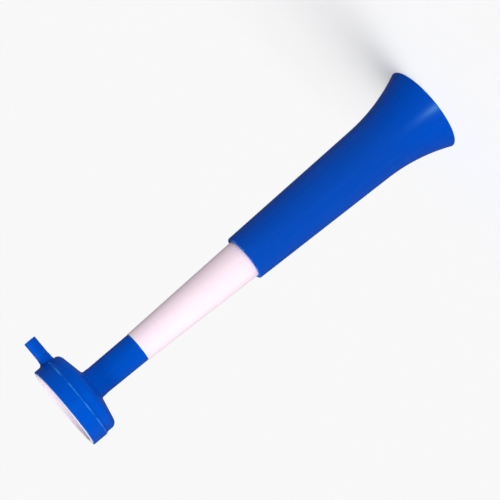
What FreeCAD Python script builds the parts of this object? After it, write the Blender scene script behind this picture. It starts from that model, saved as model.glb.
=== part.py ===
"""Stadium cheer horn: a flared bell, a sliding middle tube and a membrane drum head with a blow tube.

The horn stands on the rim of its bell mouth. The origin is the centre of that rim, +Z runs along the
bore to the drum head, and the blow tube points along +X. All sizes are in millimetres.
"""
import FreeCAD
import Part
import os
import Sketcher

PARTS_FOLDER = "parts"
POINT_TOLERANCE = 0.001
EDGE_TOLERANCE = 0.02
FULL_TURN = 360.0
# Which way, and roughly how far, the flare's arcs bow towards the axis before they are constrained.
ARC_BOW = FreeCAD.Vector(-1.5, 0.0, 0.0)

# Driving dimensions by alias. A "depth" is measured from the rear rim of the drum towards the bell,
# a "height" up from the mouth rim, and a "reach" out from the horn's axis along the blow tube.
DIMENSIONS = (
    ("overall_length", 370.0),
    # bell
    ("bell_length", 188.6),
    ("flare_height", 58.0),
    ("mouth_radius", 37.4),
    ("flare_root_radius", 24.1),
    ("lip_radius", 19.7),
    ("bell_wall", 1.5),
    ("mouth_rim_width", 1.9),
    ("mouth_rim_round", 0.5),
    ("lip_collar_length", 7.0),
    ("lip_round", 0.9),
    # middle tube
    ("tube_small_radius", 12.85),
    ("tube_lip_radius", 16.67),
    ("tube_overlap", 15.2),
    ("tube_wall", 1.4),
    ("tube_bead_radius", 17.65),
    ("tube_bead_length", 7.7),
    ("tube_slide_gap", 0.15),
    ("tube_edge_round", 0.4),
    ("spigot_length", 22.0),
    ("spigot_radius", 10.85),
    ("spigot_bore_overrun", 1.5),
    ("spigot_bore_taper", 5.0),
    # drum head and neck
    ("neck_end_depth", 73.45),
    ("neck_end_radius", 12.55),
    ("neck_root_radius", 12.05),
    ("neck_bore_radius", 10.9),
    ("neck_collar_radius", 12.3),
    ("neck_collar_depth", 31.0),
    ("neck_collar_taper", 2.4),
    ("neck_edge_round", 0.3),
    ("drum_radius", 35.85),
    ("drum_band_depth", 12.4),
    ("drum_shoulder_depth", 14.4),
    ("drum_front_radius", 34.8),
    ("drum_front_depth", 22.65),
    ("drum_front_round", 10.0),
    ("drum_neck_depth", 27.5),
    ("drum_inner_radius", 33.2),
    ("drum_front_wall", 1.64),
    ("drum_inner_round", 8.4),
    ("drum_edge_round", 0.4),
    # sounding film, the ring that holds it and the throat it beats on
    ("film_seat_radius", 34.35),
    ("film_seat_depth", 2.15),
    ("film_thickness", 0.25),
    ("film_radius", 34.3),
    ("ring_inner_radius", 31.2),
    ("ring_proud", 0.5),
    ("ring_edge_round", 0.35),
    ("throat_radius", 9.65),
    ("throat_length", 48.4),
    ("throat_rim_round", 0.4),
    # blow tube and the socket it is pushed into
    ("blow_depth", 12.7),
    ("blow_radius", 5.08),
    ("blow_bore_radius", 3.3),
    ("blow_spigot_radius", 4.3),
    ("blow_tip_reach", 57.0),
    ("blow_tip_round", 0.45),
    ("socket_radius", 5.5),
    ("socket_reach", 41.4),
    ("socket_root_reach", 33.9),
    ("socket_bore_root_reach", 31.0),
)


class Size:
    """A length in millimetres together with the sheet expression that gives it."""

    def __init__(self, value, text):
        self.value = float(value)
        self.text = text

    def __add__(self, other):
        return Size(self.value + other.value, f"({self.text} + {other.text})")

    def __sub__(self, other):
        return Size(self.value - other.value, f"({self.text} - {other.text})")

    def __mul__(self, other):
        return Size(self.value * other.value, f"({self.text} * {other.text})")

    def __truediv__(self, other):
        return Size(self.value / other.value, f"({self.text} / {other.text})")


def make_sheet(doc):
    """The spreadsheet of driving dimensions, one named cell a row."""
    sheet = doc.addObject("Spreadsheet::Sheet", "dims")
    for row, (alias, value) in enumerate(DIMENSIONS, start=1):
        sheet.set(f"A{row}", alias)
        sheet.set(f"B{row}", str(value))
        sheet.setAlias(f"B{row}", alias)
    doc.recompute()


def named_sizes():
    """Every driving dimension as a Size, by alias."""
    return {alias: Size(value, f"dims.{alias}") for alias, value in DIMENSIONS}


def new_body(doc, label):
    """An empty body whose label names its node."""
    body = doc.addObject("PartDesign::Body", label)
    body.Label = label
    return body


def new_sketch(body, name, role):
    """An empty sketch lying flat on the body's own origin plane with that role."""
    sketch = body.newObject("Sketcher::SketchObject", name)
    plane = [feature for feature in body.Origin.OriginFeatures if feature.Role == role][0]
    sketch.AttachmentSupport = [(plane, "")]
    sketch.MapMode = "FlatFace"
    return sketch


def bind(sketch, name, size, kind, *where):
    """Add a dimension to a sketch and drive it from the sheet."""
    index = sketch.addConstraint(Sketcher.Constraint(kind, *where, size.value))
    sketch.renameConstraint(index, name)
    sketch.setExpression(f"Constraints.{name}", size.text)


def draw_outline(sketch, corners, arcs=(), smooth=()):
    """Draw a closed half section through the corners and dimension every corner.

    corners is a list of (name, radius, height), where a height of None lies on the mouth plane.
    arcs names the corners where an arc, not a straight edge, sets out for the next corner.
    smooth names the corners that the two edges pass through with no kink.
    """
    count = len(corners)
    points = [FreeCAD.Vector(r.value, 0.0 if z is None else z.value, 0.0) for _, r, z in corners]
    for i, (name, _, _) in enumerate(corners):
        start = points[i]
        end = points[(i + 1) % count]
        if name in arcs:
            sketch.addGeometry(Part.Arc(start, (start + end) * 0.5 + ARC_BOW, end), False)
        else:
            sketch.addGeometry(Part.LineSegment(start, end), False)
    first = [1 if sketch.getPoint(i, 1).isEqual(points[i], POINT_TOLERANCE) else 2 for i in range(count)]
    for i in range(count):
        following = (i + 1) % count
        kind = "Tangent" if corners[following][0] in smooth else "Coincident"
        joint = Sketcher.Constraint(kind, i, 3 - first[i], following, first[following])
        sketch.addConstraint(joint)
    for i, (name, radius, height) in enumerate(corners):
        bind(sketch, f"{name}_radius", radius, "DistanceX", -1, 1, i, first[i])
        if height is None:
            sketch.addConstraint(Sketcher.Constraint("PointOnObject", i, first[i], -1))
        else:
            bind(sketch, f"{name}_height", height, "DistanceY", -1, 1, i, first[i])


def revolve(doc, body, corners, arcs=(), smooth=()):
    """Turn a half section about the body's Z axis."""
    sketch = new_sketch(body, f"{body.Label}_section", "XZ_Plane")
    draw_outline(sketch, corners, arcs, smooth)
    turned = body.newObject("PartDesign::Revolution", f"{body.Label}_turned")
    turned.Profile = sketch
    turned.ReferenceAxis = (sketch, ["V_Axis"])
    turned.Angle = FULL_TURN
    doc.recompute()


def circle_edges(shape, rings):
    """The names of the circular edges that match (radius, height) pairs about the Z axis."""
    names = []
    for radius, height in rings:
        for i, edge in enumerate(shape.Edges, start=1):
            curve = edge.Curve
            if not isinstance(curve, Part.Circle):
                continue
            centre = FreeCAD.Vector(0.0, 0.0, height)
            same_place = curve.Center.isEqual(centre, EDGE_TOLERANCE)
            if same_place and abs(curve.Radius - radius) < EDGE_TOLERANCE:
                names.append(f"Edge{i}")
    if len(names) != len(rings):
        raise ValueError(f"{len(rings)} rings, but {len(names)} edges match")
    return names


def round_rings(doc, body, name, size, rings):
    """Round the circular edges at the given (radius, height) Sizes."""
    plain = [(r.value, 0.0 if z is None else z.value) for r, z in rings]
    base = body.Tip
    fillet = body.newObject("PartDesign::Fillet", f"{body.Label}_{name}")
    fillet.Base = (base, circle_edges(base.Shape, plain))
    fillet.Radius = size.value
    fillet.setExpression("Radius", size.text)
    doc.recompute()


def cylinder_feature(doc, body, kind, name, radius, height_on_z, start_reach, length):
    """Add or cut a round feature along +X, from start_reach outwards."""
    sketch = new_sketch(body, f"{name}_circle", "YZ_Plane")
    sketch.AttachmentOffset = FreeCAD.Placement(
        FreeCAD.Vector(0.0, 0.0, start_reach.value), FreeCAD.Rotation()
    )
    sketch.setExpression("AttachmentOffset.Base.z", start_reach.text)
    centre = FreeCAD.Vector(0.0, height_on_z.value, 0.0)
    sketch.addGeometry(Part.Circle(centre, FreeCAD.Vector(0, 0, 1), radius.value), False)
    sketch.addConstraint(Sketcher.Constraint("PointOnObject", 0, 3, -2))
    bind(sketch, "centre_height", height_on_z, "DistanceY", -1, 1, 0, 3)
    bind(sketch, "radius", radius, "Radius", 0)
    feature = body.newObject(kind, name)
    feature.Profile = sketch
    feature.Length = length.value
    feature.setExpression("Length", length.text)
    if kind == "PartDesign::Pocket":
        feature.Reversed = True
    volume_before = feature.BaseFeature.Shape.Volume
    doc.recompute()
    changed = feature.Shape.Volume - volume_before
    if (changed > 0.0) != (kind == "PartDesign::Pad"):
        raise ValueError(f"{name} changed the volume by {changed:.1f} mm3")


def make_bell(doc, d):
    """The flared bell, with a collar inside its lip that holds the middle tube."""
    lip_height = d["bell_length"]
    collar_height = lip_height - d["lip_collar_length"]
    tube_slope = (d["tube_lip_radius"] - d["tube_small_radius"]) / tube_visible_length(d)
    lip_bore = d["tube_lip_radius"] + d["tube_slide_gap"]
    collar_bore = lip_bore + tube_slope * d["lip_collar_length"]
    bell_slope = (d["flare_root_radius"] - d["lip_radius"]) / (lip_height - d["flare_height"])
    inner_radius = d["lip_radius"] + bell_slope * d["lip_collar_length"] - d["bell_wall"]
    mouth_bore = d["mouth_radius"] - d["mouth_rim_width"]
    body = new_body(doc, "bell")
    revolve(
        doc,
        body,
        [
            ("mouth_outer", d["mouth_radius"], None),
            ("flare_outer", d["flare_root_radius"], d["flare_height"]),
            ("lip_outer", d["lip_radius"], lip_height),
            ("lip_inner", lip_bore, lip_height),
            ("collar_end", collar_bore, collar_height),
            ("collar_step", inner_radius, collar_height),
            ("flare_inner", d["flare_root_radius"] - d["bell_wall"], d["flare_height"]),
            ("mouth_inner", mouth_bore, None),
        ],
        arcs=("mouth_outer", "flare_inner"),
        smooth=("flare_outer", "flare_inner"),
    )
    round_rings(doc, body, "rim_round", d["mouth_rim_round"], [(d["mouth_radius"], None), (mouth_bore, None)])
    round_rings(doc, body, "lip_round", d["lip_round"], [(d["lip_radius"], lip_height)])
    return body


def tube_visible_length(d):
    """From the bell's lip to the end of the neck, where the middle tube shows."""
    return d["overall_length"] - d["neck_end_depth"] - d["bell_length"]


def make_middle_tube(doc, d):
    """The conical middle tube: a stop bead inside the bell and a spigot for the neck."""
    shoulder = d["overall_length"] - d["neck_end_depth"]
    wide_end = d["bell_length"] - d["tube_overlap"]
    bead_top = wide_end + d["tube_bead_length"]
    spigot_top = shoulder + d["spigot_length"]
    slope = (d["tube_lip_radius"] - d["tube_small_radius"]) / tube_visible_length(d)
    bead_top_radius = d["tube_small_radius"] + slope * (shoulder - bead_top)
    wide_bore = d["tube_small_radius"] + slope * (shoulder - wide_end) - d["tube_wall"]
    bore_start = shoulder - d["spigot_bore_overrun"]
    bore_end = bore_start - d["spigot_bore_taper"]
    narrow_bore = d["tube_small_radius"] + slope * (shoulder - bore_end) - d["tube_wall"]
    body = new_body(doc, "middle_tube")
    revolve(
        doc,
        body,
        [
            ("bead_foot", d["tube_bead_radius"], wide_end),
            ("bead_top", d["tube_bead_radius"], bead_top),
            ("cone_foot", bead_top_radius, bead_top),
            ("shoulder_outer", d["tube_small_radius"], shoulder),
            ("shoulder_inner", d["spigot_radius"], shoulder),
            ("spigot_outer", d["spigot_radius"], spigot_top),
            ("spigot_inner", d["throat_radius"], spigot_top),
            ("bore_start", d["throat_radius"], bore_start),
            ("bore_end", narrow_bore, bore_end),
            ("wide_inner", wide_bore, wide_end),
        ],
    )
    rings = [
        (d["tube_bead_radius"], wide_end),
        (d["tube_bead_radius"], bead_top),
        (d["spigot_radius"], spigot_top),
    ]
    round_rings(doc, body, "edge_round", d["tube_edge_round"], rings)
    return body


def make_head_shell(doc, d):
    """Drum and neck in one moulding, open at the rear, with a socket for the blow tube."""
    rear = d["overall_length"]
    slope = (d["drum_neck_depth"] - d["drum_front_depth"]) / (d["drum_front_radius"] - d["neck_collar_radius"])
    bore_depth = d["drum_neck_depth"] + slope * (d["neck_collar_radius"] - d["neck_bore_radius"])
    bore_top = rear - (bore_depth - d["drum_front_wall"])
    corner_depth = d["drum_front_depth"] + slope * (d["drum_front_radius"] - d["drum_inner_radius"])
    inner_corner = rear - (corner_depth - d["drum_front_wall"])
    neck_end = rear - d["neck_end_depth"]
    front = rear - d["drum_front_depth"]
    seat = rear - d["film_seat_depth"]
    collar_foot = rear - d["neck_collar_depth"] - d["neck_collar_taper"]
    body = new_body(doc, "head_shell")
    revolve(
        doc,
        body,
        [
            ("rim_outer", d["drum_radius"], rear),
            ("band_end", d["drum_radius"], rear - d["drum_band_depth"]),
            ("shoulder_end", d["drum_front_radius"], rear - d["drum_shoulder_depth"]),
            ("front_corner", d["drum_front_radius"], front),
            ("collar_root", d["neck_collar_radius"], rear - d["drum_neck_depth"]),
            ("collar_end", d["neck_collar_radius"], rear - d["neck_collar_depth"]),
            ("collar_foot", d["neck_root_radius"], collar_foot),
            ("neck_end_outer", d["neck_end_radius"], neck_end),
            ("neck_end_inner", d["neck_bore_radius"], neck_end),
            ("bore_top", d["neck_bore_radius"], bore_top),
            ("inner_corner", d["drum_inner_radius"], inner_corner),
            ("seat_inner", d["drum_inner_radius"], seat),
            ("seat_outer", d["film_seat_radius"], seat),
            ("rim_inner", d["film_seat_radius"], rear),
        ],
    )
    round_rings(doc, body, "front_round", d["drum_front_round"], [(d["drum_front_radius"], front)])
    round_rings(doc, body, "inner_round", d["drum_inner_round"], [(d["drum_inner_radius"], inner_corner)])
    round_rings(doc, body, "rim_round", d["drum_edge_round"], [(d["drum_radius"], rear)])
    round_rings(doc, body, "neck_round", d["neck_edge_round"], [(d["neck_end_radius"], neck_end)])
    blow_height = rear - d["blow_depth"]
    socket_length = d["socket_reach"] - d["socket_root_reach"]
    cylinder_feature(
        doc, body, "PartDesign::Pad", "blow_socket", d["socket_radius"], blow_height,
        d["socket_root_reach"], socket_length,
    )
    bore_root = d["socket_bore_root_reach"]
    cylinder_feature(
        doc, body, "PartDesign::Pocket", "blow_socket_bore", d["blow_spigot_radius"], blow_height,
        bore_root, d["socket_reach"] - bore_root,
    )
    return body


def make_throat_tube(doc, d):
    """The tube pressed into the neck, whose rim the film beats on."""
    rim = d["overall_length"] - d["film_seat_depth"]
    end = rim - d["throat_length"]
    body = new_body(doc, "throat_tube")
    revolve(
        doc,
        body,
        [
            ("rim_outer", d["neck_bore_radius"], rim),
            ("end_outer", d["neck_bore_radius"], end),
            ("end_inner", d["throat_radius"], end),
            ("rim_inner", d["throat_radius"], rim),
        ],
    )
    rings = [(d["neck_bore_radius"], rim), (d["throat_radius"], rim)]
    round_rings(doc, body, "rim_round", d["throat_rim_round"], rings)
    return body


def make_membrane(doc, d):
    """The thin film stretched over the drum, lying on its seat and on the throat's rim."""
    body = new_body(doc, "membrane")
    disc = body.newObject("PartDesign::AdditiveCylinder", "film_disc")
    disc.Radius = d["film_radius"].value
    disc.setExpression("Radius", d["film_radius"].text)
    disc.Height = d["film_thickness"].value
    disc.setExpression("Height", d["film_thickness"].text)
    height = d["overall_length"] - d["film_seat_depth"]
    body.Placement = FreeCAD.Placement(FreeCAD.Vector(0.0, 0.0, height.value), FreeCAD.Rotation())
    body.setExpression("Placement.Base.z", height.text)
    doc.recompute()
    return body


def make_retaining_ring(doc, d):
    """The pale ring pressed into the drum's rear rim, which clamps the film to its seat."""
    foot = d["overall_length"] - d["film_seat_depth"] + d["film_thickness"]
    top = d["overall_length"] + d["ring_proud"]
    body = new_body(doc, "retaining_ring")
    revolve(
        doc,
        body,
        [
            ("foot_outer", d["film_seat_radius"], foot),
            ("foot_inner", d["ring_inner_radius"], foot),
            ("top_inner", d["ring_inner_radius"], top),
            ("top_outer", d["film_seat_radius"], top),
        ],
    )
    rings = [(d["ring_inner_radius"], top), (d["film_seat_radius"], top)]
    round_rings(doc, body, "top_round", d["ring_edge_round"], rings)
    return body


def make_blow_tube(doc, d):
    """The mouthpiece tube, pushed into the drum's socket up to its shoulder."""
    body = new_body(doc, "blow_tube")
    revolve(
        doc,
        body,
        [
            ("spigot_end", d["blow_spigot_radius"], d["drum_inner_radius"]),
            ("spigot_root", d["blow_spigot_radius"], d["socket_reach"]),
            ("shoulder", d["blow_radius"], d["socket_reach"]),
            ("tip_outer", d["blow_radius"], d["blow_tip_reach"]),
            ("tip_inner", d["blow_bore_radius"], d["blow_tip_reach"]),
            ("bore_end", d["blow_bore_radius"], d["drum_inner_radius"]),
        ],
    )
    rings = [(d["blow_radius"], d["blow_tip_reach"]), (d["blow_bore_radius"], d["blow_tip_reach"])]
    round_rings(doc, body, "tip_round", d["blow_tip_round"], rings)
    height = d["overall_length"] - d["blow_depth"]
    along_x = FreeCAD.Rotation(FreeCAD.Vector(0.0, 1.0, 0.0), 90.0)
    body.Placement = FreeCAD.Placement(FreeCAD.Vector(0.0, 0.0, height.value), along_x)
    body.setExpression("Placement.Base.z", height.text)
    doc.recompute()
    return body


def check(doc, bodies):
    """Stop if any object failed to compute or any piece isn't one valid solid."""
    for item in doc.Objects:
        if "Invalid" in item.State or "Error" in item.State:
            raise RuntimeError(f"{item.Label} failed: {item.State}")
    for body in bodies:
        shape = body.Shape
        if shape.isNull() or not shape.isValid() or len(shape.Solids) != 1:
            raise RuntimeError(f"{body.Label} is not one valid solid")


def main():
    doc = FreeCAD.newDocument("cheer_horn")
    make_sheet(doc)
    d = named_sizes()
    bodies = [
        make_bell(doc, d),
        make_middle_tube(doc, d),
        make_head_shell(doc, d),
        make_throat_tube(doc, d),
        make_membrane(doc, d),
        make_retaining_ring(doc, d),
        make_blow_tube(doc, d),
    ]
    doc.recompute()
    check(doc, bodies)
    os.makedirs(PARTS_FOLDER, exist_ok=True)
    for body in bodies:
        body.Shape.exportStep(os.path.join(PARTS_FOLDER, f"{body.Label}.step"))
        box = body.Shape.optimalBoundingBox()
        print(f"{body.Label}: {body.Shape.Volume / 1000.0:.2f} cm3, z {box.ZMin:.2f} to {box.ZMax:.2f}")


main()
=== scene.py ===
import bisect
import math
import random

import bmesh
import bpy
from mathutils import Matrix, Quaternion, Vector


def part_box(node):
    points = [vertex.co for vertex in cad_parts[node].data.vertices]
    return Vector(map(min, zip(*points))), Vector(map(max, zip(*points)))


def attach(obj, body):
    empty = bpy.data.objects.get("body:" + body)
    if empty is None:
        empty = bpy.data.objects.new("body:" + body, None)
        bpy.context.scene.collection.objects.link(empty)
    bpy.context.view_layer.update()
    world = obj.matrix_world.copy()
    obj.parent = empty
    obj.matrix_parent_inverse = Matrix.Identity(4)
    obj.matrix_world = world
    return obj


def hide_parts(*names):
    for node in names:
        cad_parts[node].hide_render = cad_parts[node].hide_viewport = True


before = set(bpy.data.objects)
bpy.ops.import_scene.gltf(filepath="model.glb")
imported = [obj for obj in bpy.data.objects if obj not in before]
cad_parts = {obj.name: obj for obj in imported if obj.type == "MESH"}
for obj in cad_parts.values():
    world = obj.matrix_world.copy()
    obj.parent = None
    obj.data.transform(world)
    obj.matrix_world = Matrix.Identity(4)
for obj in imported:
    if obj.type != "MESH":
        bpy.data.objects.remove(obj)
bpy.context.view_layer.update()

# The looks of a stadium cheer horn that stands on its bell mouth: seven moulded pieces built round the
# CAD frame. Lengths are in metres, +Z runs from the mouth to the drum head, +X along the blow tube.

MM = 0.001
FULL_TURN = 2 * math.pi

# ------------------------------------------------------------------ heights taken from the frame
LIP_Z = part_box("bell")[1].z
TUBE_END_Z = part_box("middle_tube")[0].z
SPIGOT_END_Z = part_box("middle_tube")[1].z
NECK_END_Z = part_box("head_shell")[0].z
REAR_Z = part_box("head_shell")[1].z
FILM_LOW_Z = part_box("membrane")[0].z
FILM_HIGH_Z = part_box("membrane")[1].z
RING_TOP_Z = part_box("retaining_ring")[1].z
THROAT_END_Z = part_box("throat_tube")[0].z
BLOW_LOW, BLOW_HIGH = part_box("blow_tube")
BLOW_Z = (BLOW_LOW.z + BLOW_HIGH.z) / 2

# ------------------------------------------------------------------ bell
MOUTH_RADIUS = 37.36 * MM
MOUTH_BORE = 35.5 * MM
MOUTH_ROUND = 0.5 * MM
FLARE_Z = 58.0 * MM
FLARE_RADIUS = 24.1 * MM
FLARE_STEPS = 40
LIP_RADIUS = 19.7 * MM
LIP_ROUND = 0.9 * MM
LIP_BORE = 16.82 * MM
COLLAR_BORE = 17.07 * MM
COLLAR_LENGTH = 7.0 * MM
BELL_WALL = 1.5 * MM

# ------------------------------------------------------------------ middle tube
TUBE_SMALL_RADIUS = 12.85 * MM
TUBE_LIP_RADIUS = 16.67 * MM
TUBE_WALL = 1.4 * MM
BEAD_RADIUS = 17.65 * MM
BEAD_LENGTH = 7.7 * MM
SPIGOT_RADIUS = 10.83 * MM
SPIGOT_OVERRUN = 1.5 * MM
SPIGOT_TAPER = 5.0 * MM
TAPER_ROUND = 2.0 * MM
TUBE_SLOPE = (TUBE_LIP_RADIUS - TUBE_SMALL_RADIUS) / (NECK_END_Z - LIP_Z)

# ------------------------------------------------------------------ drum head
DRUM_RADIUS = 35.85 * MM
BAND_DEPTH = 12.4 * MM
SHOULDER_DEPTH = 14.4 * MM
SHOULDER_ROUND = 0.6 * MM
FRONT_RADIUS = 34.8 * MM
FRONT_DEPTH = 22.45 * MM
FRONT_ROUND = 10.0 * MM
NECK_DEPTH = 27.5 * MM
NECK_FILLET = 2.6 * MM
COLLAR_RADIUS = 12.3 * MM
COLLAR_DEPTH = 31.0 * MM
COLLAR_TAPER = 2.4 * MM
COLLAR_ROUND = 12.0 * MM
NECK_ROOT_RADIUS = 12.05 * MM
NECK_END_RADIUS = 12.55 * MM
NECK_BORE = 10.9 * MM
INNER_RADIUS = 33.2 * MM
INNER_ROUND = 8.4 * MM
FRONT_WALL = 1.64 * MM
SEAT_RADIUS = 34.35 * MM
THROAT_RADIUS = 9.65 * MM
RING_BORE = 31.2 * MM
FILM_RADIUS = 34.3 * MM
PUSH_GAP = 0.02 * MM

# ------------------------------------------------------------------ blow tube and its socket
SOCKET_RADIUS = 5.5 * MM
SOCKET_END_RADIUS = 5.2 * MM
SOCKET_REACH = 41.4 * MM
SOCKET_BORE = 4.32 * MM
SOCKET_FOOT = 0.7 * MM
SOCKET_REAR_FOOT = 1.8 * MM
SOCKET_ROUND = 0.35 * MM
SOCKET_ROUND_RINGS = 5
SOCKET_WALL_SHARES = (0.25, 0.5, 0.75, 0.94, 1.0)
SOCKET_BORE_SHARES = (0.1, 0.4, 0.7, 0.9)
SOCKET_WALL_WEAR = 0.6
SOCKET_END_WEAR = 0.8
SOCKET_BORE_WEAR = 0.2
BLOW_RADIUS = 5.08 * MM
BLOW_BORE = 3.3 * MM
BLOW_SPIGOT = 4.3 * MM
BLOW_END = BLOW_LOW.x
BLOW_TIP = BLOW_HIGH.x

# ------------------------------------------------------------------ finish
WEAR_REACH = 2.2 * MM
FINE_STEP = 0.8 * MM
COARSE_STEP = 1.5 * MM
RING_STEP = 0.5 * MM

# ------------------------------------------------------------------ rounds shared by several pieces
CRISP_ROUND = 0.1 * MM
SHARP_ROUND = 0.15 * MM
FINE_ROUND = 0.2 * MM
SMALL_ROUND = 0.3 * MM
EDGE_ROUND = 0.4 * MM
TIP_ROUND = 0.45 * MM
SOFT_ROUND = 0.5 * MM
ARC_STEPS = 7
CORNER_ROOM = 0.49
SUPPORT_SHARE = 0.3
SUPPORT_SLACK = 0.01 * MM

# ------------------------------------------------------------------ columns round each turned piece
BELL_COLUMNS = 224
TUBE_COLUMNS = 176
THROAT_COLUMNS = 144
RING_COLUMNS = 240
BLOW_COLUMNS = 96


# ------------------------------------------------------------------ outlines
def corner_arc(here, back, ahead, size):
    """The points of a rounded corner, with a support point beyond each end of its arc.

    The support points keep the faces beside the arc flat under smooth shading.
    """
    half = back.angle(ahead) / 2
    room = CORNER_ROOM * min(back.length, ahead.length)
    setback = min(size / math.tan(half), room)
    size = setback * math.tan(half)
    back, ahead = back.normalized(), ahead.normalized()
    centre = here + (back + ahead).normalized() * (size / math.sin(half))
    first = here + back * setback
    last = here + ahead * setback
    shares = [k / ARC_STEPS for k in range(ARC_STEPS + 1)]
    spokes = [(first - centre).lerp(last - centre, share).normalized() for share in shares]
    arc = [centre + spoke * size for spoke in spokes]
    support = min(SUPPORT_SHARE * size, 0.5 * (room - setback) + SUPPORT_SLACK)
    return [first + back * support, *arc, last + ahead * support]


def subdivided(points, step):
    """A closed outline with no run longer than step."""
    fine = []
    for start, end in zip(points, points[1:] + points[:1]):
        parts = max(1, math.ceil((end - start).length / step))
        fine.extend(start.lerp(end, k / parts) for k in range(parts))
    return fine


def wear_at(point, wear_and_sheen):
    """How worn an outline point is: full at a worn corner, fading to nothing at WEAR_REACH."""
    fades = [1.0 - (point - corner).length / WEAR_REACH for corner in wear_and_sheen]
    return max([0.0, *fades])


def outline_of(corners, step=COARSE_STEP):
    """A closed outline of (radius, height, wear) points from corners (radius, height, round, worn)."""
    points = []
    wear_and_sheen = []
    for i, (radius, height, size, is_worn) in enumerate(corners):
        here = Vector((radius, height))
        back = Vector(corners[i - 1][:2]) - here
        ahead = Vector(corners[(i + 1) % len(corners)][:2]) - here
        points.extend(corner_arc(here, back, ahead, size) if size else [here])
        if is_worn:
            wear_and_sheen.append(here)
    return [Vector((p.x, p.y, wear_at(p, wear_and_sheen))) for p in subdivided(points, step)]


def flare_corners(root, mouth, slope):
    """Plain corners along the arc that leaves root with the slope dr/dz and ends at the mouth."""
    along = -Vector((slope, 1.0)).normalized()
    normal = Vector((-along.y, along.x))
    chord = mouth - root
    radius = chord.length_squared / (2 * chord.dot(normal))
    centre = root + normal * radius
    sweep = math.copysign(2 * math.asin(chord.length / (2 * abs(radius))), radius)
    turns = [Matrix.Rotation(sweep * k / FLARE_STEPS, 2) for k in range(FLARE_STEPS)]
    points = [centre + turn @ (root - centre) for turn in turns]
    return [(p.x, p.y, 0.0, False) for p in points]


# ------------------------------------------------------------------ meshes
def turned(outline, columns):
    """Vertices, wear values and quads of a ring turned about Z; quads are keyed (column, row)."""
    rows = len(outline)
    vertices = []
    wear = []
    faces = {}
    for i in range(columns):
        angle = FULL_TURN * i / columns
        spoke = Vector((math.cos(angle), math.sin(angle), 0.0))
        vertices.extend(spoke * p.x + Vector((0.0, 0.0, p.y)) for p in outline)
        wear.extend(p.z for p in outline)
        this, following = i * rows, (i + 1) % columns * rows
        for j in range(rows):
            k = (j + 1) % rows
            faces[i, j] = (this + j, following + j, following + k, this + k)
    return vertices, wear, faces


def lathe(outline, columns):
    """Vertices, wear values and faces of a plain ring turned about Z."""
    vertices, wear, faces = turned(outline, columns)
    return vertices, wear, list(faces.values())


def new_piece(name, node, body, slot, material, vertices, wear, faces):
    """A smooth-shaded closed mesh that stands for a CAD node."""
    mesh = bpy.data.meshes.new(name)
    mesh.from_pydata(vertices, [], faces)
    shape = bmesh.new()
    shape.from_mesh(mesh)
    bmesh.ops.recalc_face_normals(shape, faces=shape.faces)
    shape.to_mesh(mesh)
    shape.free()
    mesh.shade_smooth()
    mesh.attributes.new("wear", "FLOAT", "POINT").data.foreach_set("value", wear)
    mesh.materials.append(material)
    piece = bpy.data.objects.new(name, mesh)
    bpy.context.scene.collection.objects.link(piece)
    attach(piece, body)
    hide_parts(node)


# ------------------------------------------------------------------ bell and middle tube
def make_bell(material):
    """The bell: a flare, a long cone with a thick lip, and the collar inside it."""
    slope = (LIP_RADIUS - FLARE_RADIUS) / (LIP_Z - FLARE_Z)
    collar_z = LIP_Z - COLLAR_LENGTH
    bore = LIP_RADIUS - slope * COLLAR_LENGTH - BELL_WALL
    outer = flare_corners(Vector((FLARE_RADIUS, FLARE_Z)), Vector((MOUTH_RADIUS, 0.0)), slope)
    inner = flare_corners(Vector((FLARE_RADIUS - BELL_WALL, FLARE_Z)), Vector((MOUTH_BORE, 0.0)), slope)
    corners = [
        (MOUTH_BORE, 0.0, MOUTH_ROUND, True),
        (MOUTH_RADIUS, 0.0, MOUTH_ROUND, True),
        *reversed(outer),
        (LIP_RADIUS, LIP_Z, LIP_ROUND, True),
        (LIP_BORE, LIP_Z, SMALL_ROUND, True),
        (COLLAR_BORE, collar_z, SMALL_ROUND, False),
        (bore, collar_z, SOFT_ROUND, False),
        *inner,
    ]
    shape = lathe(outline_of(corners), BELL_COLUMNS)
    new_piece("bell_moulding", "bell", "bell", "blue_plastic", material, *shape)


def make_middle_tube(material):
    """The middle tube: a stop bead at the wide end, a long cone, and the spigot the neck sits on."""
    bead_top = TUBE_END_Z + BEAD_LENGTH
    taper_top = NECK_END_Z - SPIGOT_OVERRUN
    taper_foot = taper_top - SPIGOT_TAPER
    corners = [
        (BEAD_RADIUS, TUBE_END_Z, EDGE_ROUND, True),
        (BEAD_RADIUS, bead_top, EDGE_ROUND, True),
        (tube_radius(bead_top), bead_top, FINE_ROUND, False),
        (TUBE_SMALL_RADIUS, NECK_END_Z, FINE_ROUND, True),
        (SPIGOT_RADIUS, NECK_END_Z, SHARP_ROUND, False),
        (SPIGOT_RADIUS, SPIGOT_END_Z, EDGE_ROUND, True),
        (THROAT_RADIUS, SPIGOT_END_Z, SMALL_ROUND, False),
        (THROAT_RADIUS, taper_top, TAPER_ROUND, False),
        (tube_radius(taper_foot) - TUBE_WALL, taper_foot, TAPER_ROUND, False),
        (tube_radius(TUBE_END_Z) - TUBE_WALL, TUBE_END_Z, EDGE_ROUND, True),
    ]
    shape = lathe(outline_of(corners), TUBE_COLUMNS)
    new_piece("middle_tube_moulding", "middle_tube", "middle", "pale_plastic", material, *shape)


def tube_radius(height):
    """The middle tube's outer radius at a height."""
    return TUBE_SMALL_RADIUS + TUBE_SLOPE * (NECK_END_Z - height)


# ------------------------------------------------------------------ drum head
HEAD_COLUMNS = 288
PATCH_HALF_HEIGHT = 8.4 * MM
PATCH_HALF_COLUMNS = 11
PATCH_RINGS = 6
FOOT_RINGS = 8
PATCH_FLOOR = 30.0 * MM
WALL_MIDDLE = 34.175 * MM


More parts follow.
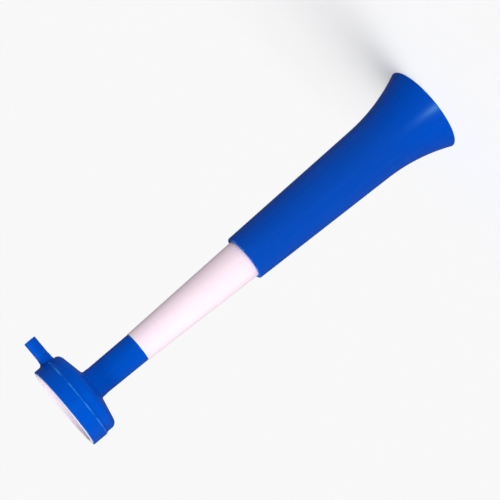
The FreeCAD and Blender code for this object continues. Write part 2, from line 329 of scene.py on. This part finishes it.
def head_corners():
    """The corners of the drum and neck, down the outside and back up the inside."""
    front_slope = (NECK_DEPTH - FRONT_DEPTH) / (FRONT_RADIUS - COLLAR_RADIUS)
    bore_top = REAR_Z - NECK_DEPTH - front_slope * (COLLAR_RADIUS - NECK_BORE) + FRONT_WALL
    inner_corner = REAR_Z - FRONT_DEPTH - front_slope * (FRONT_RADIUS - INNER_RADIUS) + FRONT_WALL
    return [
        (DRUM_RADIUS, REAR_Z, EDGE_ROUND, True),
        # The band's edge is worn; its lighter worn colour also paints a highlight line along it.
        (DRUM_RADIUS, REAR_Z - BAND_DEPTH, SOFT_ROUND, True),
        (FRONT_RADIUS, REAR_Z - SHOULDER_DEPTH, SHOULDER_ROUND, False),
        (FRONT_RADIUS, REAR_Z - FRONT_DEPTH, FRONT_ROUND, False),
        (COLLAR_RADIUS, REAR_Z - NECK_DEPTH, NECK_FILLET, False),
        (COLLAR_RADIUS, REAR_Z - COLLAR_DEPTH, COLLAR_ROUND, False),
        (NECK_ROOT_RADIUS, REAR_Z - COLLAR_DEPTH - COLLAR_TAPER, COLLAR_ROUND, False),
        (NECK_END_RADIUS, NECK_END_Z + PUSH_GAP, SMALL_ROUND, True),
        (NECK_BORE, NECK_END_Z + PUSH_GAP, SHARP_ROUND, False),
        (NECK_BORE, bore_top, SMALL_ROUND, False),
        (INNER_RADIUS, inner_corner, INNER_ROUND, False),
        (INNER_RADIUS, FILM_LOW_Z, CRISP_ROUND, False),
        (SEAT_RADIUS, FILM_LOW_Z, CRISP_ROUND, False),
        (SEAT_RADIUS, REAR_Z, FINE_ROUND, True),
    ]


def side_rows(outline, outside):
    """The outline rows beside the blow tube, on the drum's outside or inside.

    Behind the front's round the wall stands upright, so a radius tells its sides apart. On the round the
    outline's order does, because it runs down the outside first.
    """
    round_top = REAR_Z - FRONT_DEPTH + FRONT_ROUND
    rows = []
    for j, p in enumerate(outline):
        if p.y > round_top:
            is_outside = p.x > WALL_MIDDLE
        else:
            is_outside = j < len(outline) / 2
        if is_outside == outside and p.x > PATCH_FLOOR and abs(p.y - BLOW_Z) < PATCH_HALF_HEIGHT:
            rows.append(j)
    return rows


class DrumSide:
    """One side of the drum's wall, as the reach x of the surface at a place (y, z)."""

    def __init__(self, outline, rows):
        pairs = sorted((outline[j].y, outline[j].x) for j in rows)
        self.heights = [z for z, _ in pairs]
        self.radii = [r for _, r in pairs]

    def reach(self, y, z):
        k = min(max(bisect.bisect_right(self.heights, z), 1), len(self.heights) - 1)
        low, high = self.heights[k - 1], self.heights[k]
        share = (z - low) / (high - low)
        radius = self.radii[k - 1] + share * (self.radii[k] - self.radii[k - 1])
        return math.sqrt(radius**2 - y**2)


class HolePatch:
    """A rectangle of the turned grid that gives way to rings round the blow tube's axis."""

    def __init__(self, outline, rows, half_columns):
        self.side = DrumSide(outline, rows)
        self.count = len(outline)
        self.rows = rows
        self.half = half_columns
        self.faces = [(i % HEAD_COLUMNS, j) for i in range(-self.half, self.half) for j in rows[:-1]]

    def border(self, vertices):
        """The rectangle's border vertices and their angles, in order round the blow tube's axis."""
        places = set()
        for i in range(-self.half, self.half + 1):
            places |= {(i, self.rows[0]), (i, self.rows[-1])}
        for j in self.rows:
            places |= {(-self.half, j), (self.half, j)}
        found = []
        for i, j in places:
            index = (i % HEAD_COLUMNS) * self.count + j
            found.append((math.atan2(vertices[index].z - BLOW_Z, vertices[index].y), index))
        found.sort()
        return [angle for angle, _ in found], [index for _, index in found]


class HeadMesh:
    """The growing mesh of the drum and neck."""

    def __init__(self, outline):
        self.vertices, self.wear, self.faces = turned(outline, HEAD_COLUMNS)
        self.extra = []

    def ring(self, points, wear=0.0):
        """Add a ring of points and return its vertex numbers."""
        start = len(self.vertices)
        self.vertices.extend(points)
        self.wear.extend([wear] * len(points))
        return list(range(start, start + len(points)))

    def join(self, first, second):
        """Quads between two rings of equal length."""
        count = len(first)
        for i in range(count):
            k = (i + 1) % count
            self.extra.append((first[i], first[k], second[k], second[i]))

    def spread(self, patch, angles, border, radii):
        """Rings from a patch's border in to a circle, or loop, of the given radii; returns the last one."""
        previous = border
        for step in range(1, PATCH_RINGS + 1):
            share = step / PATCH_RINGS
            points = []
            for angle, index, radius in zip(angles, border, radii):
                start = self.vertices[index]
                y = start.y + share * (radius * math.cos(angle) - start.y)
                z = start.z + share * (BLOW_Z + radius * math.sin(angle) - start.z)
                points.append(Vector((patch.side.reach(y, z), y, z)))
            current = self.ring(points)
            self.join(previous, current)
            previous = current
        return previous


def round_blow_axis(angles, radius, reach):
    """Points on a circle about the blow tube's axis; reach is one number or one for each point."""
    reaches = reach if isinstance(reach, list) else [reach] * len(angles)
    points = []
    for angle, x in zip(angles, reaches):
        points.append(Vector((x, radius * math.cos(angle), BLOW_Z + radius * math.sin(angle))))
    return points


def foot_size(angle):
    """The round at the socket's foot, which is larger on the rear side."""
    return SOCKET_FOOT + SOCKET_REAR_FOOT * max(0.0, math.sin(angle))


def grow_socket(mesh, patch, angles, border):
    """The socket's outside: a filleted foot, a tapered wall and a rounded end.

    Returns the first ring of the bore.
    """
    feet = [foot_size(a) for a in angles]
    loop = mesh.spread(patch, angles, border, [SOCKET_RADIUS + foot for foot in feet])
    for step in range(1, FOOT_RINGS + 1):
        swing = math.pi / 2 * step / FOOT_RINGS
        points = []
        for angle, foot in zip(angles, feet):
            radius = SOCKET_RADIUS + foot * (1 - math.sin(swing))
            y, z = radius * math.cos(angle), BLOW_Z + radius * math.sin(angle)
            points.append(Vector((patch.side.reach(y, z) + foot * (1 - math.cos(swing)), y, z)))
        current = mesh.ring(points)
        mesh.join(loop, current)
        loop = current
    foot_tops = [mesh.vertices[index].x for index in loop]
    wall_top = SOCKET_REACH - SOCKET_ROUND
    for share in SOCKET_WALL_SHARES:
        reaches = [x + share * (wall_top - x) for x in foot_tops]
        radius = SOCKET_RADIUS + share * (SOCKET_END_RADIUS - SOCKET_RADIUS)
        current = mesh.ring(round_blow_axis(angles, radius, reaches), SOCKET_WALL_WEAR * share)
        mesh.join(loop, current)
        loop = current
    for step in range(1, SOCKET_ROUND_RINGS + 1):
        swing = math.pi / 2 * step / SOCKET_ROUND_RINGS
        radius = SOCKET_END_RADIUS - SOCKET_ROUND * (1 - math.cos(swing))
        reach = wall_top + SOCKET_ROUND * math.sin(swing)
        current = mesh.ring(round_blow_axis(angles, radius, reach), SOCKET_END_WEAR)
        mesh.join(loop, current)
        loop = current
    current = mesh.ring(round_blow_axis(angles, SOCKET_BORE, SOCKET_REACH), SOCKET_BORE_WEAR)
    mesh.join(loop, current)
    return current


def make_head_shell(material):
    """The drum and neck in one moulding, with a bored socket on the drum's side."""
    outline = outline_of(head_corners(), FINE_STEP)
    outer_rows = side_rows(outline, True)
    inner_rows = side_rows(outline, False)
    if (len(outer_rows) - len(inner_rows)) % 2:
        inner_rows = inner_rows[:-1]
    inner_half = PATCH_HALF_COLUMNS + (len(outer_rows) - len(inner_rows)) // 2
    outer = HolePatch(outline, outer_rows, PATCH_HALF_COLUMNS)
    inner = HolePatch(outline, inner_rows, inner_half)
    mesh = HeadMesh(outline)
    for key in outer.faces + inner.faces:
        del mesh.faces[key]
    outer_angles, outer_border = outer.border(mesh.vertices)
    inner_angles, inner_border = inner.border(mesh.vertices)
    loop = grow_socket(mesh, outer, outer_angles, outer_border)
    inner_loop = mesh.spread(inner, inner_angles, inner_border, [SOCKET_BORE] * len(inner_angles))
    inner_reaches = [mesh.vertices[index].x for index in inner_loop]
    for share in SOCKET_BORE_SHARES:
        angles = [a + share * (b - a) for a, b in zip(outer_angles, inner_angles)]
        reaches = [SOCKET_REACH + share * (x - SOCKET_REACH) for x in inner_reaches]
        current = mesh.ring(round_blow_axis(angles, SOCKET_BORE, reaches))
        mesh.join(loop, current)
        loop = current
    mesh.join(loop, inner_loop)
    kept = [*mesh.faces.values(), *mesh.extra]
    used = sorted({index for face in kept for index in face})
    renumbered = {index: k for k, index in enumerate(used)}
    faces = [[renumbered[index] for index in face] for face in kept]
    vertices = [mesh.vertices[index] for index in used]
    wear = [mesh.wear[index] for index in used]
    new_piece("drum_and_neck", "head_shell", "head", "blue_plastic", material, vertices, wear, faces)


def make_throat_tube(material):
    """The plain tube pressed into the neck, whose rounded rim carries the film."""
    outer = NECK_BORE - PUSH_GAP
    corners = [
        (outer, FILM_LOW_Z, EDGE_ROUND, False),
        (outer, THROAT_END_Z, FINE_ROUND, False),
        (THROAT_RADIUS, THROAT_END_Z, FINE_ROUND, False),
        (THROAT_RADIUS, FILM_LOW_Z, EDGE_ROUND, False),
    ]
    shape = lathe(outline_of(corners), THROAT_COLUMNS)
    new_piece("throat_tube_moulding", "throat_tube", "head", "pale_plastic", material, *shape)


def make_retaining_ring(material):
    """The ring pressed into the drum's rim over the film, with a softened top face."""
    outer = SEAT_RADIUS - PUSH_GAP
    corners = [
        (outer, FILM_HIGH_Z, CRISP_ROUND, False),
        (RING_BORE, FILM_HIGH_Z, CRISP_ROUND, False),
        (RING_BORE, RING_TOP_Z, TIP_ROUND, True),
        (outer, RING_TOP_Z, TIP_ROUND, True),
    ]
    shape = lathe(outline_of(corners, RING_STEP), RING_COLUMNS)
    new_piece("film_ring", "retaining_ring", "head", "pale_plastic", material, *shape)


# ------------------------------------------------------------------ film
FILM_SAG = 0.34 * MM
FILM_CROWN_SAG = 0.14 * MM
FILM_WRINKLE = 0.09 * MM
FILM_COLUMNS = 216
FILM_RINGS = 48
FILM_SEED = 7
WRINKLE_WAVES = (5, 9, 14, 23)
WRINKLE_SIZES = (0.3, 0.7)


def film_height(radius, angle, wrinkles):
    """How far the film's middle surface stands off its flat plane; it lies flat on ring and throat."""
    if radius <= THROAT_RADIUS:
        return -FILM_CROWN_SAG * (1 - (radius / THROAT_RADIUS) ** 2)
    if radius <= NECK_BORE or radius >= RING_BORE:
        return 0.0
    share = (radius - NECK_BORE) / (RING_BORE - NECK_BORE)
    ripple = sum(math.sin(waves * angle + phase) * size for waves, phase, size in wrinkles)
    return -FILM_SAG * math.sin(math.pi * share) + FILM_WRINKLE * ripple * math.sin(math.pi * share) ** 2


def make_film(material):
    """The sounding film: a thin closed disc that sags between ring and throat, with faint wrinkles."""
    draw = random.Random(FILM_SEED)
    wrinkles = []
    for waves in WRINKLE_WAVES:
        wrinkles.append((waves, draw.uniform(0, FULL_TURN), draw.uniform(*WRINKLE_SIZES)))
    vertices = []
    for level in (FILM_HIGH_Z, FILM_LOW_Z):
        vertices.append(Vector((0.0, 0.0, level + film_height(0.0, 0.0, wrinkles))))
        for ring in range(1, FILM_RINGS + 1):
            radius = FILM_RADIUS * ring / FILM_RINGS
            for i in range(FILM_COLUMNS):
                angle = FULL_TURN * i / FILM_COLUMNS
                height = level + film_height(radius, angle, wrinkles)
                vertices.append(Vector((radius * math.cos(angle), radius * math.sin(angle), height)))
    sheet = 1 + FILM_RINGS * FILM_COLUMNS
    faces = []
    for start in (0, sheet):
        for i in range(FILM_COLUMNS):
            k = (i + 1) % FILM_COLUMNS
            faces.append((start, start + 1 + i, start + 1 + k))
            for ring in range(FILM_RINGS - 1):
                low = start + 1 + ring * FILM_COLUMNS
                high = low + FILM_COLUMNS
                faces.append((low + i, high + i, high + k, low + k))
    edge = 1 + (FILM_RINGS - 1) * FILM_COLUMNS
    for i in range(FILM_COLUMNS):
        k = (i + 1) % FILM_COLUMNS
        faces.append((edge + i, edge + k, sheet + edge + k, sheet + edge + i))
    new_piece("sounding_film", "membrane", "head", "film", material, vertices, [0.0] * len(vertices), faces)


def make_blow_tube(material):
    """The blow tube, lying along +X: a spigot, a shoulder against the socket and a rounded tip."""
    corners = [
        (BLOW_SPIGOT, BLOW_END, SMALL_ROUND, False),
        (BLOW_SPIGOT, SOCKET_REACH, CRISP_ROUND, False),
        (BLOW_RADIUS, SOCKET_REACH, SHARP_ROUND, False),
        (BLOW_RADIUS, BLOW_TIP, TIP_ROUND, True),
        (BLOW_BORE, BLOW_TIP, TIP_ROUND, True),
        (BLOW_BORE, BLOW_END, SMALL_ROUND, False),
    ]
    vertices, wear, faces = lathe(outline_of(corners, FINE_STEP), BLOW_COLUMNS)
    laid = [Vector((v.z, v.y, BLOW_Z - v.x)) for v in vertices]
    new_piece("blow_tube_moulding", "blow_tube", "head", "blue_plastic", material, laid, wear, faces)


# ------------------------------------------------------------------ colours
WHITE = (1.0, 1.0, 1.0, 1.0)
HEAD_LIGHT = (0.0, 0.074, 0.52, 1.0)
HEAD_DEEP = (0.0, 0.066, 0.475, 1.0)
HEAD_GLOSS = (0.06, 0.8, 1.0, 1.0)
# The bell's blue is a darker copy of the head's blue: painted shade, for the bell getting less light than
# the drum head.
BELL_SHADED_LIGHT = (0.0, 0.066, 0.475, 1.0)
BELL_SHADED_DEEP = (0.0, 0.059, 0.435, 1.0)
BELL_GLOSS = (0.45, 1.0, 0.7, 1.0)
# The lighter blue of worn edges: real scuffing and, on the drum's band edge, a painted highlight.
BLUE_SCUFF_AND_SHEEN = (0.02, 0.2, 0.70, 1.0)
TUBE_LIGHT = (0.955, 0.785, 0.875, 1.0)
TUBE_DEEP = (0.925, 0.75, 0.84, 1.0)
RING_LIGHT = (0.79, 0.70, 0.79, 1.0)
RING_DEEP = (0.75, 0.665, 0.755, 1.0)
PALE_SCUFFED = (0.86, 0.80, 0.83, 1.0)
FILM_LIGHT = (0.76, 0.71, 0.775, 1.0)
FILM_DEEP = (0.71, 0.665, 0.735, 1.0)
# Painted shade: the film's tone over the dark hollows behind it.
FILM_HOLLOW_SHADE = (0.66, 0.62, 0.70, 1.0)
FLOOR_DEEP = (0.925, 0.925, 0.93, 1.0)
FLOOR_LIGHT = (0.935, 0.935, 0.94, 1.0)

# ------------------------------------------------------------------ surfaces
BLUE_IOR = 1.24
PLASTIC_RELIEF = 0.10 * MM
FILM_RELIEF = 0.12 * MM


# ------------------------------------------------------------------ materials
class Tree:
    """Shorthand for one material's nodes. Textures are laid out in the piece's own metres."""

    def __init__(self, name):
        self.material = bpy.data.materials.new(name)
        self.material.use_nodes = True
        self.nodes = self.material.node_tree.nodes
        self.links = self.material.node_tree.links
        self.shader = self.nodes["Principled BSDF"]
        self.place = self.nodes.new("ShaderNodeTexCoord").outputs["Object"]

    def feed(self, socket, value):
        """Link a socket to another, or give it a plain value."""
        if isinstance(value, bpy.types.NodeSocket):
            self.links.new(value, socket)
        else:
            socket.default_value = value

    def noise(self, cycles, turn=(0.0, 0.0, 0.0), detail=2.0):
        """Noise from 0 to 1 with its own number of cycles a metre along each axis."""
        mapping = self.nodes.new("ShaderNodeMapping")
        mapping.inputs["Scale"].default_value = cycles
        mapping.inputs["Rotation"].default_value = turn
        texture = self.nodes.new("ShaderNodeTexNoise")
        texture.inputs["Scale"].default_value = 1.0
        texture.inputs["Detail"].default_value = detail
        self.links.new(self.place, mapping.inputs["Vector"])
        self.links.new(mapping.outputs["Vector"], texture.inputs["Vector"])
        return texture.outputs[0]

    def math(self, operation, first, second):
        """One arithmetic step."""
        node = self.nodes.new("ShaderNodeMath")
        node.operation = operation
        self.feed(node.inputs[0], first)
        self.feed(node.inputs[1], second)
        return node.outputs[0]

    def ramp(self, value, low, high, start=0.0, end=1.0):
        """Value between low and high, mapped smoothly to start and end."""
        node = self.nodes.new("ShaderNodeMapRange")
        node.interpolation_type = "SMOOTHSTEP"
        self.feed(node.inputs["Value"], value)
        node.inputs["From Min"].default_value = low
        node.inputs["From Max"].default_value = high
        node.inputs["To Min"].default_value = start
        node.inputs["To Max"].default_value = end
        return node.outputs["Result"]

    def blend(self, share, first, second):
        """A mix of two colours."""
        node = self.nodes.new("ShaderNodeMix")
        node.data_type = "RGBA"
        self.feed(node.inputs[0], share)
        self.feed(node.inputs[6], first)
        self.feed(node.inputs[7], second)
        return node.outputs[2]

    def total(self, *weighted):
        """The sum of (value, weight) pairs."""
        result = 0.0
        for value, weight in weighted:
            result = self.math("ADD", self.math("MULTIPLY", value, weight), result)
        return result

    def bump(self, height, depth):
        """Raise the surface by height times depth metres."""
        node = self.nodes.new("ShaderNodeBump")
        node.inputs["Strength"].default_value = 1.0
        node.inputs["Distance"].default_value = depth
        self.links.new(height, node.inputs["Height"])
        self.links.new(node.outputs["Normal"], self.shader.inputs["Normal"])

    def wear_and_sheen(self):
        """The edge wear stored on the mesh, broken up so that it comes and goes along an edge; its lighter
        colour is real scuffing and also paints a highlight line along the drum's band edge.
        """
        attribute = self.nodes.new("ShaderNodeAttribute")
        attribute.attribute_name = "wear"
        patches = self.noise((140.0, 140.0, 140.0), detail=4.0)
        nicks = self.noise((900.0, 900.0, 900.0), detail=2.0)
        broken = self.total((attribute.outputs["Fac"], 0.62), (patches, 0.8), (nicks, 0.25))
        return self.ramp(broken, 0.93, 1.2)

    def scratches(self):
        """Fine hairline scratches in two directions, gathered in patches."""
        across = self.noise((60.0, 90.0, 2600.0), turn=(0.5, 0.3, 0.0), detail=1.0)
        along = self.noise((2200.0, 70.0, 50.0), turn=(0.2, 0.6, 0.9), detail=1.0)
        where = self.noise((34.0, 34.0, 34.0), detail=2.0)
        lines = self.math("MAXIMUM", self.ramp(across, 0.70, 0.76), self.ramp(along, 0.71, 0.77))
        return self.math("MULTIPLY", lines, self.ramp(where, 0.50, 0.66))


def moulded_plastic(name, light, deep, scuff_and_sheen, roughness, specular, tint):
    """Injection-moulded plastic: drifting pigment, flow streaks, faint turned-mould rings and wear, whose
    lighter edge colour is partly a painted highlight.
    """
    tree = Tree(name)
    drift = tree.noise((16.0, 16.0, 9.0), detail=2.0)
    streaks = tree.noise((190.0, 190.0, 7.0), detail=3.0)
    grain = tree.noise((1500.0, 1500.0, 1500.0), detail=2.0)
    rings = tree.noise((9.0, 9.0, 950.0), detail=2.0)
    ripple = tree.noise((70.0, 70.0, 40.0), detail=1.0)
    wear_and_sheen = tree.wear_and_sheen()
    scratches = tree.scratches()
    pigment = tree.total((drift, 0.5), (streaks, 0.35), (grain, 0.15))
    colour = tree.blend(tree.ramp(pigment, 0.36, 0.64), deep, light)
    # Worn edges take the lighter scuffed colour: real scuffing, and also a painted highlight along the
    # drum's band edge.
    scuff_and_sheen_marks = tree.math("MAXIMUM", wear_and_sheen, tree.math("MULTIPLY", scratches, 0.35))
    tree.feed(tree.shader.inputs["Base Color"], tree.blend(scuff_and_sheen_marks, colour, scuff_and_sheen))
    gloss = tree.total((streaks, 0.07), (grain, 0.05), (ripple, 0.06), (scratches, 0.12), (wear_and_sheen, 0.16))
    tree.feed(tree.shader.inputs["Roughness"], tree.math("ADD", gloss, roughness - 0.09))
    tree.bump(tree.total((ripple, 1.0), (rings, 0.05), (grain, 0.035), (wear_and_sheen, -0.12)), PLASTIC_RELIEF)
    tree.shader.inputs["Specular IOR Level"].default_value = specular
    tree.shader.inputs["Specular Tint"].default_value = tint
    return tree


def blue_plastic(name, light, deep, tint):
    """The blue of the bell, drum and blow tube."""
    tree = moulded_plastic(name, light, deep, BLUE_SCUFF_AND_SHEEN, roughness=0.28, specular=0.5, tint=tint)
    tree.shader.inputs["IOR"].default_value = BLUE_IOR
    return tree.material


def pale_plastic(name, light, deep):
    """The pale pinkish white of the middle tube, ring and throat."""
    tree = moulded_plastic(name, light, deep, PALE_SCUFFED, roughness=0.52, specular=0.3, tint=WHITE)
    return tree.material


def film_plastic():
    """Milky film: cloudy, finely crinkled, with painted shade where only air lies behind it, as if the dark
    hollows showed through.
    """
    tree = Tree("film_plastic")
    clouds = tree.noise((60.0, 60.0, 60.0), detail=4.0)
    crinkle = tree.noise((420.0, 420.0, 420.0), detail=3.0)
    fibres = tree.noise((900.0, 60.0, 60.0), turn=(0.0, 0.0, 0.6), detail=2.0)
    distance = tree.nodes.new("ShaderNodeVectorMath")
    distance.operation = "LENGTH"
    flat = tree.nodes.new("ShaderNodeVectorMath")
    flat.operation = "MULTIPLY"
    flat.inputs[1].default_value = (1.0, 1.0, 0.0)
    tree.links.new(tree.place, flat.inputs[0])
    tree.links.new(flat.outputs[0], distance.inputs[0])
    radius = distance.outputs["Value"]
    # Painted shade: the film is darkened over the throat's bore and over the drum's hollow, as if their
    # darkness showed through it.
    inside = tree.ramp(radius, THROAT_RADIUS - 0.4 * MM, THROAT_RADIUS + 0.2 * MM, 1.0, 0.0)
    outside = tree.ramp(radius, NECK_BORE - 0.2 * MM, NECK_BORE + 0.8 * MM, 0.0, 0.45)
    hollow_shade = tree.math("ADD", inside, outside)
    milk = tree.blend(tree.ramp(clouds, 0.35, 0.65), FILM_LIGHT, FILM_DEEP)
    shown = tree.math("MULTIPLY", hollow_shade, 0.30)
    tree.feed(tree.shader.inputs["Base Color"], tree.blend(shown, milk, FILM_HOLLOW_SHADE))
    tree.feed(tree.shader.inputs["Roughness"], tree.total((crinkle, 0.22), (fibres, 0.12), (clouds, 0.1)))
    tree.bump(tree.total((crinkle, 0.5), (fibres, 0.35), (clouds, 1.0)), FILM_RELIEF)
    tree.shader.inputs["Specular IOR Level"].default_value = 0.5
    return tree.material


# ------------------------------------------------------------------ studio
CAMERA_PLACE = Vector((0.0, -1.5253, 0.4606))
CAMERA_AIM = Vector((0.00226, 0.0, 0.1806))
CAMERA_ROLL = math.radians(-129.78)
CAMERA_LENS = 143.1
FLOOR_SIZE = 60.0
FLOOR_DROP = 0.1 * MM
FLOOR_GLOW = 0.27
BACKGROUND = 0.935
AMBIENT = 0.10
KEY_TOWARDS = (-0.383, -0.179, 0.906)
KEY_STRENGTH = 2.15
KEY_SPREAD = 50.0
LIFT_TOWARDS = (-0.254, -0.699, 0.669)
LIFT_AIM = (0.0, 0.0, 0.35)
LIFT_DISTANCE = 0.8
LIFT_SIZE = (0.18, 0.18)
LIFT_POWER = 1.9
GLOSS_TOWARDS = (-0.251, -0.847, 0.470)
GLOSS_AIM = (0.0, -0.036, 0.01)
GLOSS_DISTANCE = 1.2
GLOSS_SIZE = (0.16, 0.16)
GLOSS_POWER = 4.6


def make_camera():
    """The camera: slightly above the horn, rolled so that the horn lies across the frame."""
    camera = bpy.data.objects.new("camera", bpy.data.cameras.new("camera"))
    camera.data.lens = CAMERA_LENS
    camera.location = CAMERA_PLACE
    camera.rotation_mode = "QUATERNION"
    aim = (CAMERA_AIM - CAMERA_PLACE).to_track_quat("-Z", "Y")
    camera.rotation_quaternion = aim @ Quaternion((0.0, 0.0, 1.0), CAMERA_ROLL)
    bpy.context.scene.collection.objects.link(camera)
    bpy.context.scene.camera = camera


def make_floor():
    """A wide pale floor."""
    half = FLOOR_SIZE / 2
    corners = [(-half, -half, 0), (half, -half, 0), (half, half, 0), (-half, half, 0)]
    mesh = bpy.data.meshes.new("floor")
    mesh.from_pydata(corners, [], [(0, 1, 2, 3)])
    floor = bpy.data.objects.new("floor", mesh)
    floor.location.z = -FLOOR_DROP
    floor.visible_glossy = False
    bpy.context.scene.collection.objects.link(floor)
    tree = Tree("floor_paper")
    paper = tree.ramp(tree.noise((40.0, 40.0, 40.0), detail=3.0), 0.3, 0.7)
    shade = tree.blend(paper, FLOOR_DEEP, FLOOR_LIGHT)
    tree.feed(tree.shader.inputs["Base Color"], shade)
    tree.shader.inputs["Roughness"].default_value = 0.95
    tree.shader.inputs["Emission Color"].default_value = WHITE
    tree.shader.inputs["Emission Strength"].default_value = FLOOR_GLOW
    tree.shader.inputs["Specular IOR Level"].default_value = 0.0
    mesh.materials.append(tree.material)


def make_world():
    """An even soft sky, seen by the camera as the same pale tone as the floor."""
    world = bpy.data.worlds.new("studio")
    world.use_nodes = True
    nodes, links = world.node_tree.nodes, world.node_tree.links
    light = nodes["Background"]
    light.inputs["Color"].default_value = (AMBIENT, AMBIENT, AMBIENT, 1.0)
    shown = nodes.new("ShaderNodeBackground")
    shown.inputs["Color"].default_value = (BACKGROUND, BACKGROUND, BACKGROUND, 1.0)
    path = nodes.new("ShaderNodeLightPath")
    mix = nodes.new("ShaderNodeMixShader")
    links.new(path.outputs["Is Camera Ray"], mix.inputs[0])
    links.new(light.outputs[0], mix.inputs[1])
    links.new(shown.outputs[0], mix.inputs[2])
    links.new(mix.outputs[0], nodes["World Output"].inputs["Surface"])
    bpy.context.scene.world = world


def make_sun(name, towards, strength, spread):
    """A distant soft light that shines from the direction towards."""
    data = bpy.data.lights.new(name, "SUN")
    data.energy = strength
    data.angle = math.radians(spread)
    sun = bpy.data.objects.new(name, data)
    sun.rotation_mode = "QUATERNION"
    sun.rotation_quaternion = Vector(towards).to_track_quat("Z", "Y")
    bpy.context.scene.collection.objects.link(sun)


def spare_floor(panel):
    """Keep a panel's light off the floor, which would otherwise show the edge of its reach."""
    unlit = bpy.data.collections.new(panel.name + "_unlit")
    unlit.objects.link(bpy.data.objects["floor"])
    panel.light_linking.receiver_collection = unlit
    unlit.collection_objects[0].light_linking.link_state = "EXCLUDE"


def make_panel(name, towards, aim, distance, size, power):
    """A soft panel light at a distance from the point that it faces."""
    data = bpy.data.lights.new(name, "AREA")
    data.shape = "RECTANGLE"
    data.size, data.size_y = size
    data.energy = power
    panel = bpy.data.objects.new(name, data)
    panel.visible_camera = False
    direction = Vector(towards).normalized()
    panel.location = Vector(aim) + direction * distance
    panel.rotation_mode = "QUATERNION"
    panel.rotation_quaternion = direction.to_track_quat("Z", "Y")
    bpy.context.scene.collection.objects.link(panel)
    spare_floor(panel)


def light_studio():
    """A high soft key, a panel that lifts the drum head, and one whose gloss shows on the flare."""
    make_sun("key", KEY_TOWARDS, KEY_STRENGTH, KEY_SPREAD)
    make_panel("head", LIFT_TOWARDS, LIFT_AIM, LIFT_DISTANCE, LIFT_SIZE, LIFT_POWER)
    make_panel("gloss", GLOSS_TOWARDS, GLOSS_AIM, GLOSS_DISTANCE, GLOSS_SIZE, GLOSS_POWER)


# ------------------------------------------------------------------ the scene
bpy.context.scene.view_settings.view_transform = "Standard"
make_camera()
make_world()
make_floor()
light_studio()

head_blue = blue_plastic("head_blue", HEAD_LIGHT, HEAD_DEEP, HEAD_GLOSS)
# The bell gets a darker copy of the same blue, as painted shade.
bell_blue_painted_shade = blue_plastic("bell_blue_painted_shade", BELL_SHADED_LIGHT, BELL_SHADED_DEEP, BELL_GLOSS)
pale = pale_plastic("tube_pale", TUBE_LIGHT, TUBE_DEEP)
ring_pale = pale_plastic("ring_pale", RING_LIGHT, RING_DEEP)

make_bell(bell_blue_painted_shade)
make_middle_tube(pale)
make_head_shell(head_blue)
make_throat_tube(pale)
make_film(film_plastic())
make_retaining_ring(ring_pale)
make_blow_tube(head_blue)
